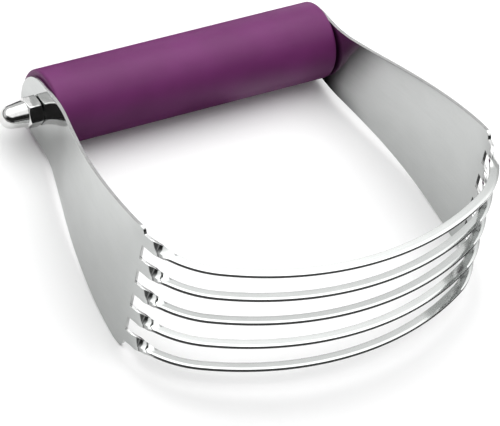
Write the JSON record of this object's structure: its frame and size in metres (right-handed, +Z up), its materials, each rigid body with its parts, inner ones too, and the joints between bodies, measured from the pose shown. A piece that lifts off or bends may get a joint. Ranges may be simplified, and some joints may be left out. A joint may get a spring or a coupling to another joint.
{
  "type": "pastry blender",
  "caption": "Hand tool for cutting fat into flour: a soft-grip cylindrical handle clamped between the arms of a stamped steel frame with twisted, bowed blades, lying on its side.",
  "frame": {"origin": "middle of the bounding box's underside, on the surface that the tool lies on", "axes": "+X along the handle, from the cap nut to the bolt's head, +Y from the blades to the handle, +Z up; the tool leans 8.9 degrees about X, so its blade end is raised and it rests on the handle and two arm corners; the handle's middle is at x = 1.5 mm, because the nut stands further out than the bolt's head"},
  "size_m": [0.1414, 0.1416, 0.0555],
  "materials": {
    "blade_steel": "satin-polished stainless sheet with bright edges",
    "fastener_steel": "bright polished",
    "purple_grip": "satin soft-touch",
    "core_plastic": "plain moulded"
  },
  "bodies": {
    "root": {"blade_frame": "blade_steel", "grip_sleeve": "purple_grip", "handle_core": "core_plastic", "end_plug_left": "core_plastic", "end_plug_right": "core_plastic", "tie_bolt": "fastener_steel", "cap_nut": "fastener_steel"}
  },
  "joints": []
}
